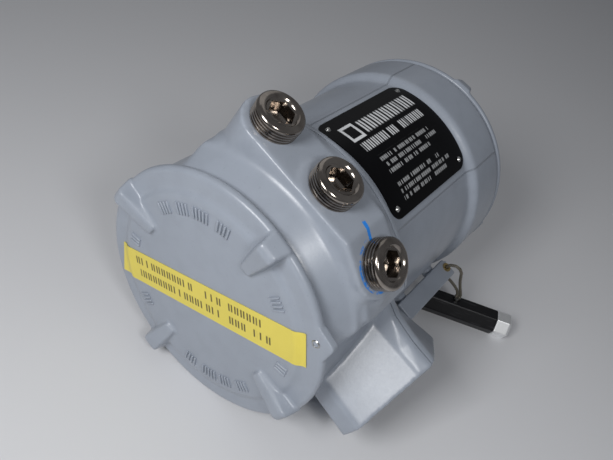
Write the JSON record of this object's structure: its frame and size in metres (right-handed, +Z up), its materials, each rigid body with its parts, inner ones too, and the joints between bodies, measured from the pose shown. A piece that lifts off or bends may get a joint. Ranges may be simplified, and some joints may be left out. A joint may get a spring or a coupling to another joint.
{
  "type": "flow meter transmitter head",
  "caption": "Two-compartment cast transmitter head lying on its side, with screwed covers, plugged cable entries, a data plate, a faceted neck and a magnetic stylus on a cord.",
  "frame": {"origin": "on the bench, under the centre of the box round everything but the cord and its stylus", "axes": "+Y along the enclosure's turning axis from the wiring cover to the display cover, +Z up from the bench, +X towards the neck's side"},
  "size_m": [0.2102, 0.235, 0.1835],
  "materials": {
    "grey_paint": "smooth grey powder coat",
    "rubber_black": "matt",
    "screw_steel": "satin",
    "adapter_steel": "turned",
    "plug_nickel": "bright nickel",
    "label_yellow": "vinyl",
    "window_glass": "clear",
    "retainer_aluminium": "turned",
    "plate_black": "black print",
    "board_green": "solder mask",
    "terminal_black": "moulded",
    "terminal_green": "moulded",
    "brass": "turned",
    "feedthrough_resin": "cast resin",
    "chassis_steel": "sheet",
    "lcd": "clear front",
    "bezel_grey": "moulded",
    "cord_grey": "sleeve over steel cable",
    "stylus_black": "satin black",
    "magnet_steel": "ground"
  },
  "bodies": {
    "head": {"front_housing": "grey_paint", "rear_housing": "grey_paint", "seam_gasket": "rubber_black", "housing_bolts": "screw_steel", "neck_adapter": "adapter_steel", "conduit_plug_upper": "plug_nickel", "conduit_plug_middle": "plug_nickel", "conduit_plug_lower": "plug_nickel", "data_plate": "plate_black", "data_plate_rivets": "screw_steel", "terminal_board": "board_green", "terminal_header": "terminal_black", "power_terminal": "terminal_black", "terminal_board_screws": "screw_steel", "ground_screw": "brass", "feedthrough": "feedthrough_resin", "chassis_plate": "chassis_steel", "chassis_screws": "screw_steel", "board_standoffs": "brass", "main_board": "board_green", "power_board": "board_green", "display_board": "board_green", "lcd_module": "lcd", "display_bezel": "bezel_grey", "bezel_screws": "screw_steel", "lanyard_bar": "grey_paint", "lanyard_bar_screws": "screw_steel", "lanyard_grommet": "screw_steel", "lanyard_crimp": "screw_steel", "lanyard_loop": "cord_grey", "stylus_body": "stylus_black", "stylus_magnet": "magnet_steel"},
    "wiring_cover_travel": {"wiring_cover_oring": "rubber_black"},
    "wiring_cover_turn": {"wiring_cover": "grey_paint", "wiring_cover_lock_screw": "screw_steel", "strip_label": "label_yellow"},
    "display_cover_travel": {"display_cover_oring": "rubber_black"},
    "display_cover_turn": {"display_cover": "grey_paint", "display_cover_lock_screw": "screw_steel", "window_gasket": "rubber_black", "display_window": "window_glass", "window_retainer": "retainer_aluminium", "retainer_screws": "screw_steel"},
    "terminal_plug_a": {"terminal_plug_a": "terminal_green"},
    "terminal_plug_b": {"terminal_plug_b": "terminal_green"}
  },
  "joints": [
    {"name": "wiring_cover_slide", "type": "slide", "parent": "head", "child": "wiring_cover_travel", "axis": [0, -1, 0], "range_m": [0, 0.0161]},
    {"name": "wiring_cover_screw", "type": "hinge", "parent": "wiring_cover_travel", "child": "wiring_cover_turn", "pos_m": [-0.018, 0, 0.076], "axis": [0, -1, 0], "range_deg": [0, 2880]},
    {"name": "display_cover_slide", "type": "slide", "parent": "head", "child": "display_cover_travel", "axis": [0, 1, 0], "range_m": [0, 0.0161]},
    {"name": "display_cover_screw", "type": "hinge", "parent": "display_cover_travel", "child": "display_cover_turn", "pos_m": [-0.018, 0, 0.076], "axis": [0, 1, 0], "range_deg": [0, 2880]},
    {"name": "terminal_plug_a_pull", "type": "slide", "parent": "head", "child": "terminal_plug_a", "axis": [0, -1, 0], "range_m": [0, 0.009]},
    {"name": "terminal_plug_b_pull", "type": "slide", "parent": "head", "child": "terminal_plug_b", "axis": [0, -1, 0], "range_m": [0, 0.009]}
  ],
  "couplings": [
    {"joint": "wiring_cover_slide", "follows": "wiring_cover_screw", "m_per_rad": 0.00031831},
    {"joint": "display_cover_slide", "follows": "display_cover_screw", "m_per_rad": 0.00031831}
  ]
}
